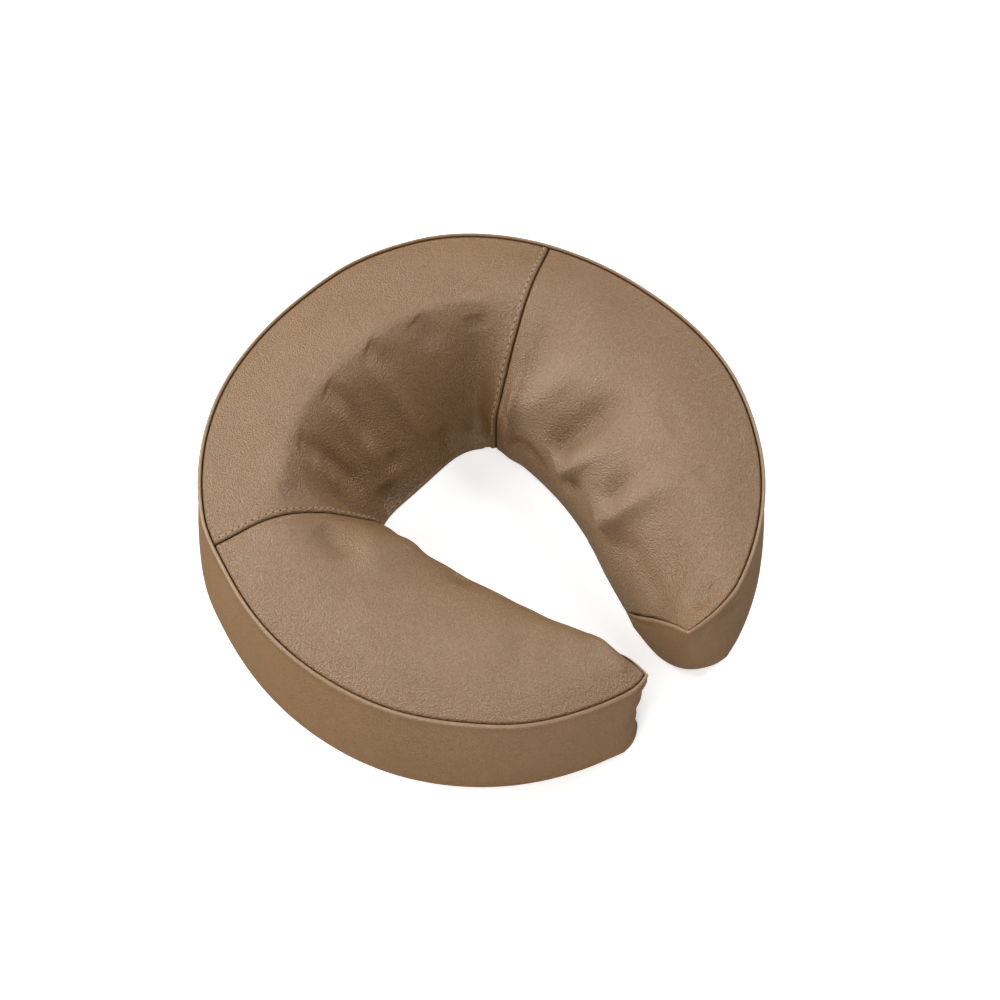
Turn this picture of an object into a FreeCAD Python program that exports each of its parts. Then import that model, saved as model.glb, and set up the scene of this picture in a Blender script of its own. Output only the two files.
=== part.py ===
"""Face cradle cushion: a padded crescent that a face rests in, open at the chin.

The row frame has +Z up. The cushion lies on its base at z = 0, with the forehead side
towards +Y and the chin gap towards -Y, and the origin under the middle of its box.
Angles are measured from the forehead side (+Y) round towards +X.
"""

import FreeCAD, Part
import math
import os

# Outline, in millimetres and degrees
OUTER_R = 150.0  # widest radius, at the outer band
SEAM_R = 147.6  # radius of the seam between the top panels and the band
FACET_X = 16.0  # each arm ends on a flat facet, this far from the middle of the chin gap
TIP_CORNER_R = 14.0  # rounding from the outer wall on to the facet
RADIAL_SEAM_ANGLE = 60.0  # where the forehead panel meets each arm panel

# One half of the face opening at the base, from the forehead to inside the chin gap,
# as (x, y) from the centre of the outer circle. The facet cuts off what is nearer than FACET_X.
OPENING_HALF = [
    (0.0, 45.0),
    (25.0, 44.6),
    (38.5, 39.0),
    (45.5, 29.0),
    (46.6, 6.0),
    (44.0, -20.0),
    (37.6, -44.0),
    (28.8, -66.0),
    (21.2, -88.0),
    (17.6, -103.0),
    (14.6, -120.0),
    (10.4, -140.0),
]

# Heights of the cross-section
SEAM_HEIGHT = 65.0  # perimeter seam
CROWN_HEIGHT = 75.0  # highest line of the padding
RIDGE_R = 101.0  # radius of the ridge where the forehead scoop begins
CROWN_EASE = 1.7  # how quickly the top rises from the perimeter seam
FULL_CROWN_WIDTH = 90.0  # a section narrower than this has a lower crown
ROLL_DROP = 33.0  # height of the rounded roll over the inner edge of an arm
TIP_ROLL_DROP = 52.0  # the roll reaches lower at the facet
INNER_BULGE = 2.0  # how far the roll stands over the base line
SCOOP_FULL_ANGLE = 34.0  # the forehead is a plain scoop out to here
TIP_FADE_ANGLE = 148.0  # the arm starts to thin towards its facet here
SHARES_TO_CROWN = (0.0, 0.33, 0.67)  # points of a section between the perimeter seam and its crown
SCOOP_SLOPE = ((0, 0), (0.12, 0.08), (0.32, 0.31), (0.5, 0.53), (0.67, 0.74), (0.84, 0.9))  # (along, down)

# Materials
LEATHER = 1.2  # thickness of the cover
BASE_THICKNESS = 1.5  # loop-pile fabric under the cushion
CLEARANCE = 0.3  # between neighbouring pieces
LAYER_HEIGHT = 38.0  # top of the firm foam layer
THREAD_R = 0.3  # seam thread
STITCH_R = 0.35  # topstitching thread
STITCH_LENGTH = 3.0
STITCH_PITCH = 4.0
STITCH_ROW = 3.5  # distance of the topstitching from the radial seam
STITCH_STOP = 24.0  # the row ends at this height on the inner wall
PERIMETER_THREAD_OUT = 0.6  # the perimeter thread lies this far outside the seam

BASE_TOP = BASE_THICKNESS + CLEARANCE
FOAM_INSET = LEATHER + CLEARANCE
CORNER_X = FACET_X + TIP_CORNER_R  # centre of the tip's rounded corner
CORNER_DEPTH = math.sqrt((OUTER_R - TIP_CORNER_R) ** 2 - CORNER_X**2)
CORNER_ANGLE = 180 - math.degrees(math.atan2(CORNER_X, CORNER_DEPTH))
CENTRE_Y = (CORNER_DEPTH + TIP_CORNER_R - OUTER_R) / 2  # the origin is under the box's middle
SEAM_HALF_ANGLE = 0.15  # half the gap between two panels at a radial seam
ARM_START = RADIAL_SEAM_ANGLE + SEAM_HALF_ANGLE
CENTRE_END = RADIAL_SEAM_ANGLE - SEAM_HALF_ANGLE
ARM_END = 175.0  # the cross-sections run on past the facet, which trims them
TIP_SPLIT_Y = -100.0  # the band's facets and corners lie beyond here

UP = FreeCAD.Vector(0, 0, 1)
CENTRE = FreeCAD.Vector(0, CENTRE_Y, 0)


def at(angle, radius, height):
    """The point at an angle, radius and height about the outer circle's centre."""
    turn = math.radians(angle)
    return CENTRE + FreeCAD.Vector(radius * math.sin(turn), radius * math.cos(turn), height)


def spline(points):
    curve = Part.BSplineCurve()
    curve.interpolate(points)
    return curve


def smooth(low, high, value):
    """0 below low, 1 above high, and a smooth step between."""
    share = min(1.0, max(0.0, (value - low) / (high - low)))
    return share * share * (3 - 2 * share)


def opening_curve():
    right = [CENTRE + FreeCAD.Vector(x, y, 0) for x, y in OPENING_HALF]
    left = [CENTRE + FreeCAD.Vector(-x, y, 0) for x, y in reversed(OPENING_HALF[1:])]
    return spline(left + right)


OPENING = opening_curve()


def opening_radius(angle):
    """Radius of the opening's base line at an angle, by bisection along its curve."""
    low = (OPENING.FirstParameter + OPENING.LastParameter) / 2
    high = OPENING.LastParameter
    for _ in range(40):
        middle = (low + high) / 2
        point = OPENING.value(middle) - CENTRE
        if math.degrees(math.atan2(point.x, point.y)) < abs(angle):
            low = middle
        else:
            high = middle
    point = OPENING.value(low) - CENTRE
    return math.hypot(point.x, point.y)


def rise_to_crown(crown_r, crown_z):
    """Points of a section from the perimeter seam up to just before its crown."""
    points = []
    for share in SHARES_TO_CROWN:
        rise = (crown_z - SEAM_HEIGHT) * (1 - (1 - share) ** CROWN_EASE)
        points.append((SEAM_R + (crown_r - SEAM_R) * share, SEAM_HEIGHT + rise))
    return points


def roll_points(angle):
    """Cross-section of an arm: a low crown that rolls over into the opening."""
    inner = opening_radius(angle)
    width = SEAM_R - inner
    crown_r = SEAM_R - width / 2
    crown_z = SEAM_HEIGHT + (CROWN_HEIGHT - SEAM_HEIGHT) * min(1.0, width / FULL_CROWN_WIDTH)
    drop = ROLL_DROP + (TIP_ROLL_DROP - ROLL_DROP) * smooth(TIP_FADE_ANGLE, ARM_END, abs(angle))
    reach = crown_r - inner + INNER_BULGE
    points = rise_to_crown(crown_r, crown_z)
    for turn in (0, 22, 44, 66, 90):
        sweep = math.radians(turn)
        points.append((crown_r - reach * math.sin(sweep), crown_z - drop * (1 - math.cos(sweep))))
    low = crown_z - drop
    points.append((inner - INNER_BULGE * 0.6, low * 0.5))
    points.append((inner, BASE_TOP))
    return points


def scoop_points(angle):
    """Cross-section of the forehead: up to a ridge, then down a slope to the opening."""
    inner = opening_radius(angle)
    points = rise_to_crown(RIDGE_R, CROWN_HEIGHT)
    slope = CROWN_HEIGHT - BASE_TOP
    for along, down in SCOOP_SLOPE:
        points.append((RIDGE_R + (inner - RIDGE_R) * along, CROWN_HEIGHT - slope * down))
    points.append((inner, BASE_TOP))
    return points


def section_points(angle, inset):
    """Upper outline of the cross-section from the seam to the base, moved inwards."""
    roll = roll_points(angle)
    scoop = scoop_points(angle)
    share = smooth(SCOOP_FULL_ANGLE, RADIAL_SEAM_ANGLE, abs(angle))
    outline = []
    for one, other in zip(scoop, roll):
        outline.append((one[0] + (other[0] - one[0]) * share, one[1] + (other[1] - one[1]) * share))
    moved = []
    last = len(outline) - 1
    for index, (radius, height) in enumerate(outline):
        before = outline[max(0, index - 1)]
        after = outline[min(last, index + 1)]
        run = after[0] - before[0]
        fall = after[1] - before[1]
        size = math.hypot(run, fall)
        across = fall / size
        upward = -run / size
        if index == last:
            moved.append((radius - inset / across, BASE_TOP))
        else:
            moved.append((radius - inset * across, height - inset * upward))
    return moved


def section_curve(angle, inset):
    return spline([at(angle, radius, height) for radius, height in section_points(angle, inset)])


def line(start, end):
    return Part.LineSegment(start, end).toShape()


def panel_section(angle):
    """Closed outline of the leather's thickness at one angle."""
    outside = section_curve(angle, 0)
    inside = section_curve(angle, LEATHER)
    edges = [
        outside.toShape(),
        line(outside.EndPoint, inside.EndPoint),
        inside.toShape(),
        line(inside.StartPoint, outside.StartPoint),
    ]
    return Part.Wire(Part.__sortEdges__(edges))


def body_section(angle, inset, wall):
    """Closed outline of everything under the top surface at one angle."""
    top = section_curve(angle, inset)
    foot = at(angle, wall, BASE_TOP)
    shoulder = at(angle, wall, SEAM_HEIGHT - 2 * inset)
    edges = [
        top.toShape(),
        line(top.EndPoint, foot),
        line(foot, shoulder),
        line(shoulder, top.StartPoint),
    ]
    return Part.Wire(Part.__sortEdges__(edges))


def foam_section(angle):
    return body_section(angle, FOAM_INSET, OUTER_R - FOAM_INSET)


def centre_angles():
    half = [12.0, 24.0, 34.0, 42.0, 49.0, 55.0, CENTRE_END]
    return [-angle for angle in reversed(half)] + [0.0] + half


def arm_angles():
    return [ARM_START, 72.0, 85.0, 98.0, 111.0, 124.0, 136.0, 147.0, 156.0, 163.0, 169.0, ARM_END]


def loft(sections):
    return Part.makeLoft(sections, True, False)


def centre_panel():
    return loft([panel_section(angle) for angle in centre_angles()])


def arm_panel():
    whole = loft([panel_section(angle) for angle in arm_angles()])
    return whole.common(outline_prism(FOAM_INSET, 2 * CROWN_HEIGHT))


def mirrored(shape):
    """The same piece on the -X side."""
    return shape.mirror(FreeCAD.Vector(0, 0, 0), FreeCAD.Vector(1, 0, 0))


def flipped(point):
    return FreeCAD.Vector(-point.x, point.y, point.z)


def tip_points(inset):
    """Facet's inner end and outer end, and the corner's middle and end, on the +X side."""
    centre = CENTRE + FreeCAD.Vector(CORNER_X, -CORNER_DEPTH, 0)
    corner = TIP_CORNER_R - inset
    half_turn = math.radians((CORNER_ANGLE + 270) / 2)
    middle = centre + FreeCAD.Vector(math.sin(half_turn), math.cos(half_turn), 0) * corner
    facet_outer = centre - FreeCAD.Vector(corner, 0, 0)
    facet_inner = FreeCAD.Vector(facet_outer.x, CENTRE_Y, 0)
    return facet_inner, facet_outer, middle, at(CORNER_ANGLE, OUTER_R - inset, 0)


def outline_edges(inset):
    """Outer outline in plan: up one facet, round the outer wall and down the other facet."""
    facet_inner, facet_outer, middle, corner_end = tip_points(inset)
    right = [line(facet_inner, facet_outer), Part.Arc(facet_outer, middle, corner_end).toShape()]
    left = [mirrored(edge) for edge in right]
    round_wall = Part.Arc(corner_end, at(0, OUTER_R - inset, 0), flipped(corner_end)).toShape()
    return right + [round_wall] + left


def outline_prism(inset, height):
    """All of the crescent's plan with the face opening still filled, as a plain prism."""
    facet_inner = tip_points(inset)[0]
    edges = outline_edges(inset) + [line(facet_inner, flipped(facet_inner))]
    return Part.Face(Part.Wire(Part.__sortEdges__(edges))).extrude(UP * height)


def base_panel():
    """Flat loop-pile panel over the whole underside."""
    edges = [OPENING.toShape(), line(OPENING.EndPoint, OPENING.StartPoint)]
    opening = Part.Face(Part.Wire(Part.__sortEdges__(edges))).extrude(UP * BASE_THICKNESS)
    return outline_prism(0, BASE_THICKNESS).cut(opening)


def outer_band():
    """One strip of leather round the outer wall, both corners and both facets."""
    outer_end = tip_points(0)[0]
    inner_end = tip_points(LEATHER)[0]
    ends = [line(outer_end, inner_end), line(flipped(outer_end), flipped(inner_end))]
    wire = Part.Wire(Part.__sortEdges__(outline_edges(0) + outline_edges(LEATHER) + ends))
    foot = BASE_TOP + 2 * THREAD_R
    strip = Part.Face(wire).extrude(UP * (SEAM_HEIGHT - foot))
    strip.translate(UP * foot)
    size = 4 * OUTER_R
    tips_box = Part.makeBox(size, size, size, FreeCAD.Vector(-size / 2, TIP_SPLIT_Y - size, 0))
    half_box = Part.makeBox(size, size, size, FreeCAD.Vector(0, TIP_SPLIT_Y - size, 0))
    wide = OUTER_R + TIP_CORNER_R
    under_top = loft([body_section(angle, 0, wide) for angle in (120.0,) + tuple(arm_angles()[6:])])
    right_tip = strip.common(half_box).common(under_top)
    wall_only = strip.cut(tips_box).cut(gap_sides())
    return wall_only.fuse(right_tip).fuse(mirrored(right_tip)).removeSplitter()


def gap_sides():
    """The part of the plain strip that would run up the chin gap into the face opening."""
    width = 2 * (FACET_X + 2 * LEATHER)
    corner = FreeCAD.Vector(-width / 2, TIP_SPLIT_Y - 1, 0)
    return Part.makeBox(width, CENTRE_Y + 2 - TIP_SPLIT_Y, 2 * CROWN_HEIGHT, corner)


def foam_layers():
    """Firm foam below and soft foam above, split on one level."""
    centre = loft([foam_section(angle) for angle in centre_angles()])
    arm = loft([foam_section(angle) for angle in [CENTRE_END] + arm_angles()[1:]])
    arm = arm.common(outline_prism(FOAM_INSET, 2 * CROWN_HEIGHT))
    whole = centre.fuse(arm).fuse(mirrored(arm)).removeSplitter()
    size = 4 * OUTER_R
    corner = FreeCAD.Vector(-size / 2, -size / 2, 0)
    below = Part.makeBox(size, size, LAYER_HEIGHT, corner)
    above = Part.makeBox(size, size, CROWN_HEIGHT, corner + UP * (LAYER_HEIGHT + CLEARANCE))
    return whole.common(below), whole.common(above)


def ring_thread(radius, height):
    """Seam thread round the outer circle, from one tip corner to the other."""
    start = FreeCAD.Vector(0, CENTRE_Y + radius, height)
    circle = Part.Wire(Part.makeCircle(THREAD_R, start, FreeCAD.Vector(1, 0, 0)))
    circle.rotate(CENTRE, UP, CORNER_ANGLE)
    return Part.Face(circle).revolve(CENTRE, UP, -2 * CORNER_ANGLE)


def stitch_path(step_count):
    """Points just over the leather, one stitch row away from the radial seam."""
    points = []
    for step in range(step_count + 1):
        share = step / step_count
        angle = RADIAL_SEAM_ANGLE
        for _ in range(3):
            curve = section_curve(angle, -STITCH_R - CLEARANCE)
            span = curve.LastParameter - curve.FirstParameter
            point = curve.value(curve.FirstParameter + span * share)
            radius = math.hypot(point.x, point.y - CENTRE_Y)
            angle = RADIAL_SEAM_ANGLE - math.degrees(math.asin(STITCH_ROW / radius))
        points.append(at(angle, radius, point.z))
    return points


def topstitch_row():
    """A row of separate stitches on the forehead panel, on the +X side."""
    points = [point for point in stitch_path(90) if point.z > STITCH_STOP]
    travelled = [0.0]
    for before, after in zip(points, points[1:]):
        travelled.append(travelled[-1] + (after - before).Length)

    def along(distance):
        index = max(i for i, value in enumerate(travelled[:-1]) if value <= distance)
        share = (distance - travelled[index]) / (travelled[index + 1] - travelled[index])
        return points[index] + (points[index + 1] - points[index]) * share

    stitches = []
    start = STITCH_PITCH / 2
    while start + STITCH_LENGTH < travelled[-1]:
        first = along(start)
        run = along(start + STITCH_LENGTH) - first
        stitches.append(Part.makeCylinder(STITCH_R, run.Length, first, run))
        start += STITCH_PITCH
    return Part.makeCompound(stitches)


def save(name, shape):
    shape.exportStep("parts/%s.step" % name)
    print(name, shape.ShapeType, len(shape.Solids), "solids", round(shape.Volume), "mm3", shape.isValid())


os.makedirs("parts", exist_ok=True)
right_panel = arm_panel()
right_stitches = topstitch_row()
firm, soft = foam_layers()
save("top_panel_centre", centre_panel())
save("top_panel_right", right_panel)
save("top_panel_left", mirrored(right_panel))
save("outer_band", outer_band())
save("base_panel", base_panel())
save("support_foam", firm)
save("comfort_foam", soft)
save("topstitch_right", right_stitches)
save("topstitch_left", mirrored(right_stitches))
save("perimeter_seam_thread", ring_thread(SEAM_R + PERIMETER_THREAD_OUT, SEAM_HEIGHT - THREAD_R))
save("base_seam_thread", ring_thread(OUTER_R - LEATHER / 2, BASE_TOP + THREAD_R - CLEARANCE / 2))
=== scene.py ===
"""Looks of the face cradle cushion: a taupe faux-leather crescent on a pale studio floor."""

import bpy
import math
import numpy as np
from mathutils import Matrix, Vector, noise


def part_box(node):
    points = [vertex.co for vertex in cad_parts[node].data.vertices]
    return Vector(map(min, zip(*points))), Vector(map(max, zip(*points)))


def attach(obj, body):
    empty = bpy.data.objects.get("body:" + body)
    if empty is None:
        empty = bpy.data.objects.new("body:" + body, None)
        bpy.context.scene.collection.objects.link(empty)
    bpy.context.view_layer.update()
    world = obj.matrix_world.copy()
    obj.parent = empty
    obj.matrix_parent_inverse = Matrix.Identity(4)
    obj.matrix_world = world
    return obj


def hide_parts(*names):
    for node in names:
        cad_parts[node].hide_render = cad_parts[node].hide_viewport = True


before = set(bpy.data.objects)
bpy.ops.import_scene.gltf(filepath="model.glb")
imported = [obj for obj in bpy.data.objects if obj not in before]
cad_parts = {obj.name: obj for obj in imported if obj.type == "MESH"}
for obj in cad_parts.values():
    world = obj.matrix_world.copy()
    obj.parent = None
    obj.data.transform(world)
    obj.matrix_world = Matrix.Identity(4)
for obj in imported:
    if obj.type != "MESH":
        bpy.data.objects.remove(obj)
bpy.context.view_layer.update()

MM = 0.001  # shapes are in millimetres, about the middle of the outer circle on the floor

# Read from the frame
band_low, band_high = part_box("outer_band")
OUTER_R = (band_high.x - band_low.x) / 2 / MM
CENTRE_Y = band_high.y / MM - OUTER_R
SEAM_Z = band_high.z / MM

SEAM_INSET = 2.4  # from the outer circle in to the perimeter seam
SEAM_R = OUTER_R - SEAM_INSET
LEATHER = 1.2  # thickness of the top panels
BASE_TOP = 1.5  # upper face of the base panel, where the top panels end

# The face opening's base line, as (x, y) from the middle of the outer circle
OPENING_HALF = (
    (0, 45), (25, 44.6), (38.5, 39), (45.5, 29), (46.6, 6), (44, -20), (37.6, -44),
    (28.8, -66), (21.2, -88), (17.6, -103), (14.6, -120), (10.4, -140),
)

# Cross-sections from the perimeter seam (share 0) to the base line (share 1), as
# (share of the width, height): at the forehead, at a radial seam, on the left arm, on the
# right arm, at the right arm's tip and at the left arm's
SECTIONS = (
    ((0, 65), (.11, 68.4), (.23, 71.4), (.34, 73.8), (.42, 75.1), (.463, 75), (.50, 73), (.56, 67.2),
     (.64, 56), (.735, 41), (.83, 25.5), (.915, 11.5), (.965, 4.2), (1, 0)),
    ((0, 65), (.10, 68.4), (.19, 72.2), (.28, 74.9), (.37, 75.4), (.45, 74.2), (.53, 71.2), (.61, 67),
     (.70, 61.2), (.80, 52.5), (.90, 43.5), (.985, 34.5), (1.0, 17), (1, 0)),
    ((0, 65), (.12, 68.9), (.24, 72.2), (.37, 74.4), (.50, 75), (.62, 74.1), (.72, 71.9), (.81, 68.5),
     (.885, 64.2), (.95, 58.5), (1.0, 50.5), (1.02, 38), (1.01, 18), (1, 0)),
    ((0, 65), (.12, 69.1), (.24, 72.7), (.35, 74.4), (.46, 73.8), (.57, 70.8), (.67, 66.2), (.76, 60.2),
     (.845, 52.8), (.92, 43.5), (.98, 33), (1.01, 22), (1.01, 10), (1, 0)),
    ((0, 65), (.08, 61.2), (.16, 57.0), (.24, 52.4), (.32, 47.4), (.40, 42.2), (.48, 36.8), (.56, 31.2),
     (.64, 25.4), (.72, 19.6), (.80, 13.8), (.88, 8.2), (.95, 3.4), (1, 0)),
    ((0, 65), (.08, 65.6), (.16, 65.4), (.24, 64), (.32, 61.3), (.40, 57.2), (.48, 51.8), (.56, 45.3),
     (.64, 38), (.72, 30), (.80, 21.6), (.88, 13.2), (.95, 6), (1, 0)),
)

RADIAL_SEAM = 60.1  # angle of the radial seams at the rim
RADIAL_SEAM_FOOT = 53.8  # and at the base line
TIP_RIGHT = 175.9
TIP_LEFT = 170.2
TIP_FOOT = 166.3

# How far the sewn rim and the band's foot stray from a true circle, as (angle, millimetres)
RIM_DRIFT = ((-176, 1.4), (-157, .7), (-143, .4), (-130, -1.7), (-115, -2.0), (-100, -2.9), (-75, -2.9),
             (-65, -2.1), (-57, .3), (-51, 1.1), (-27, 1.1), (-10, -.3), (3, -.5), (10, .4), (18, 2.1),
             (28, 3), (38, 3.6), (50, 2.2), (66, -.8), (80, -2.4), (90, -2.2), (108, 0), (122, .3),
             (136, 1.1), (160, 1.3), (176, 1.5))
FOOT_DRIFT = ((-176, 0), (-158, 1.0), (-137, 1.7), (-116, 1.4), (-95, -.3), (-78, -1.1), (-67, -.6),
              (-57, 1.3), (-46, 1.7), (-20, 1.0), (40, 1.2), (100, 0), (130, .8), (160, .6), (176, 0))


def smooth(low, high, value):
    """Rises from 0 to 1 between low and high, or falls from 1 to 0 where low is the greater."""
    share = np.clip((value - low) / (high - low), 0, 1)
    return share * share * (3 - 2 * share)


def bell(distance, width):
    """1 at no distance, falling away over a width."""
    return np.exp(-(distance / width) ** 2)


def unit(vectors):
    return vectors / np.linalg.norm(vectors, axis=-1, keepdims=True)


def lengths_along(points, axis=0):
    """Distance from the first point on, along one axis of a line or grid of points."""
    steps = np.linalg.norm(np.diff(points, axis=axis), axis=-1)
    return np.concatenate([np.zeros_like(steps.take([0], axis)), np.cumsum(steps, axis)], axis)


def point_at(value, run, line):
    """Points of a line where its rising values, such as lengths, reach the given ones."""
    return np.stack([np.interp(value, run, part) for part in line.T], -1)


def resample(line, count):
    """Points spaced evenly along a line."""
    run = lengths_along(line)
    return point_at(np.linspace(0, run[-1], count), run, line)


def at_height(plan, height):
    """Points in plan, lifted to a height."""
    return np.concatenate([plan, np.full(plan.shape[:-1] + (1,), height)], -1)


def with_end_knots(knots):
    """Knots along the first axis, carried straight on by one more at each end."""
    return np.concatenate([2 * knots[:1] - knots[1:2], knots, 2 * knots[-1:] - knots[-2:-1]])


def spline(a, b, c, d, t):
    """Catmull-Rom curve between b and c."""
    return 0.5 * (2 * b + (c - a) * t + (2 * a - 5 * b + 4 * c - d) * t**2 + (3 * b - a - 3 * c + d) * t**3)


def curve_through(points, per_span):
    """Smooth curve through points along the first axis."""
    knots = with_end_knots(np.asarray(points, float))
    spans = len(knots) - 3
    pieces = []
    for i in range(spans):
        t = np.linspace(0, 1, per_span, endpoint=(i == spans - 1))
        pieces.append(spline(*knots[i:i + 4], t.reshape((-1,) + (1,) * (knots.ndim - 1))))
    return np.concatenate(pieces)


def polar(angle, radius):
    """Points in plan at angles from the forehead's side towards the right arm."""
    turn = np.radians(angle)
    return np.stack([radius * np.sin(turn), radius * np.cos(turn)], -1)


def angle_of(points):
    return np.degrees(np.arctan2(points[..., 0], points[..., 1]))


opening_line = curve_through(OPENING_HALF, 24)
OPEN_ANGLES = angle_of(opening_line)
OPEN_RADII = np.hypot(opening_line[:, 0], opening_line[:, 1])


def foot_point(angle):
    """Point of the face opening's base line at an angle, in plan."""
    return polar(angle, np.interp(np.abs(angle), OPEN_ANGLES, OPEN_RADII))


def drift(angle, knots):
    """Value at an angle of the smooth curve through knots of (angle, value)."""
    line = curve_through(knots, 10)
    return np.interp(angle, line[:, 0], line[:, 1])


def rim_point(angle):
    """Point of the perimeter seam at an angle, in plan."""
    # it draws in towards each tip
    right = np.clip((angle - 161) / 15, 0, None) ** 1.4 * 7.2
    left = np.clip((-angle - 165) / 5.2, 0, None) ** 2 * 3.4
    return polar(angle, SEAM_R - right - left + drift(angle, RIM_DRIFT))


def foot_angle(angle):
    """The base-line angle that a section from a rim angle runs to."""
    size = np.abs(angle)
    tip = np.where(angle > 0, TIP_RIGHT, TIP_LEFT)
    lag = (RADIAL_SEAM - RADIAL_SEAM_FOOT) * np.minimum(size / RADIAL_SEAM, 1 - smooth(RADIAL_SEAM, 95, size))
    lag = lag + (tip - TIP_FOOT) * smooth(138, tip, size) ** 1.3
    return np.sign(angle) * (size - lag)


# How much wider the left arm's padding is than its sections say, as (angle, share of its width)
LEFT_ARM = ((-180, .04), (-170, .04), (-168.5, -.105), (-167, -.2), (-165, -.23), (-162, -.2),
            (-158, -.15), (-154, -.105), (-148, -.07), (-140, -.03), (-126, -.012), (-112, -.003),
            (-97, -.012), (-88, -.002), (-80, .02), (-74, .03), (-66, .024), (-61, 0), (-55, 0), (180, 0))


# Rim angles at which one cross-section gives way to the next; pairs are the right arm and the left
FOREHEAD_END = 45
SEAM_SECTION = 60
ARM_SECTION = (84, 96)
ARM_EARLIER = 8  # the arm's own section comes this much earlier at the opening than at the rim
TIP_START = (120, 146)
TIP_POWER = (1.7, 12)  # the left tip's section takes over later and faster


def section_weights(angle, phase):
    """How much each of the six cross-sections counts at a rim angle and a section phase."""
    size = np.abs(angle)
    on_right = angle > 0
    tip = np.where(on_right, TIP_RIGHT, TIP_LEFT)
    tip_start = np.where(on_right, *TIP_START)
    to_seam = smooth(FOREHEAD_END, SEAM_SECTION, size)
    to_arm = smooth(SEAM_SECTION, np.where(on_right, *ARM_SECTION) - ARM_EARLIER * phase, size)
    to_tip = np.clip((size - tip_start) / (tip - tip_start), 0, 1) ** np.where(on_right, *TIP_POWER)
    arm = to_arm * (1 - to_tip)
    seam = to_seam * (1 - to_arm)
    right = on_right.astype(float)
    return 1 - to_seam, seam, arm * (1 - right), arm * right, to_tip * right, to_tip * (1 - right)


FULL_CROWN_WIDTH = 90  # the crown is lower where the cushion is narrower than this
FREE_HEIGHT = 45  # the left arm's widening fades out below this height


def top_surface(angles, phases):
    """Points of the padded top for a grid of rim angles (rows) and section phases (columns)."""
    angles = np.repeat(angles[:, None], len(phases), 1)
    knots = with_end_knots(np.array(SECTIONS, float).swapaxes(0, 1))  # knot, section, (share, height)
    last = len(knots) - 3
    run = np.clip(phases * last, 0, last - 1e-9)
    span = run.astype(int)
    values = spline(*(knots[span + k] for k in range(4)), (run - span)[:, None, None])
    weights = section_weights(angles, phases[None, :])
    share, height = (sum(w * values[None, :, k, part] for k, w in enumerate(weights)) for part in (0, 1))
    rim = rim_point(angles)
    foot = foot_point(foot_angle(angles))
    slim = np.minimum(1, np.linalg.norm(rim - foot, axis=-1) / FULL_CROWN_WIDTH)
    height = np.where(height > SEAM_Z, SEAM_Z + (height - SEAM_Z) * slim, height)
    # the foot stays on the base line, whatever the padding above it does
    share = share * (1 + drift(angles, LEFT_ARM) * np.clip(height / FREE_HEIGHT, 0, 1))
    return at_height(rim + (foot - rim) * share[..., None], height[..., None])


def grid_normals(points):
    """Outward unit normals of a grid of points."""
    along = np.gradient(points, axis=0)
    down = np.gradient(points, axis=1)
    normal = np.cross(down, along)
    size = np.linalg.norm(normal, axis=-1, keepdims=True)
    return normal / np.maximum(size, 1e-9)


def row_lengths(points):
    """Distance down each section of a grid of points, and each section's whole length."""
    run = lengths_along(points, 1)
    return run, run[:, -1:]


def even_phases(count):
    """Section phases that lie evenly along an average section, finer beside the rim."""
    fine = np.linspace(0, 1, 600)
    run, total = row_lengths(top_surface(np.array([30.0, 100.0]), fine))
    share = (run / total).mean(0)
    even = np.linspace(0, 1, count)
    even = even * (0.35 + 0.65 * smooth(-0.05, 0.12, even))
    even = even / even[-1]
    return np.interp(even, share, fine)


def row_angles(start, end, fine_end, coarse=0.66, fine=0.24):
    """Angles from start to end, closer together beside the start, and the end if asked."""
    angles = [start]
    while angles[-1] < end:
        near = angles[-1] - start
        if fine_end:
            near = min(near, end - angles[-1])
        step = fine + (coarse - fine) * float(smooth(4, 8, near))
        angles.append(angles[-1] + step)
    angles = np.array(angles)
    return start + (angles - start) * (end - start) / (angles[-1] - start)


def add_object(name, data):
    """A new object in the scene."""
    piece = bpy.data.objects.new(name, data)
    bpy.context.scene.collection.objects.link(piece)
    return piece


def mesh_object(name, points, faces):
    """Smooth mesh, moved and scaled from the shapes' millimetres to the frame."""
    mesh = bpy.data.meshes.new(name)
    mesh.from_pydata((points * MM + np.array([0, CENTRE_Y * MM, 0])).tolist(), [], faces)
    mesh.polygons.foreach_set("use_smooth", [True] * len(faces))
    mesh.update()
    return add_object(name, mesh)


def faces_wrong_way(points, quads, closed):
    """Whether a closed mesh encloses a negative volume, or an open one faces down."""
    corners = points[quads[:, :3]]
    across = np.cross(corners[:, 1] - corners[:, 0], corners[:, 2] - corners[:, 0])
    if closed:
        return ((corners.mean(1) - points.mean(0)) * across).sum() < 0
    return across[:, 2].sum() < 0


def make_mesh(name, points, wrap=False, caps=False):
    """Mesh from a grid of points; wrap closes each row on itself, caps closes the two ends."""
    rows, cols = points.shape[:2]
    points = points.reshape(-1, 3)
    index = np.arange(rows * cols).reshape(rows, cols)
    if wrap:
        index = np.concatenate([index, index[:, :1]], 1)
    quads = np.stack([index[:-1, :-1], index[1:, :-1], index[1:, 1:], index[:-1, 1:]], -1).reshape(-1, 4)
    faces = quads.tolist()
    if caps:
        faces.append(list(range(cols)))
        faces.append(list(range(rows * cols - 1, (rows - 1) * cols - 1, -1)))
    if faces_wrong_way(points, quads, wrap):
        faces = [face[::-1] for face in faces]
    return mesh_object(name, points, faces)


def thicken(piece, depth):
    """Give an open mesh a thickness, inward."""
    modifier = piece.modifiers.new("thickness", "SOLIDIFY")
    modifier.thickness = depth * MM
    modifier.offset = -1
    bpy.context.view_layer.objects.active = piece
    piece.select_set(True)
    bpy.ops.object.modifier_apply(modifier="thickness")
    piece.select_set(False)


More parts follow.
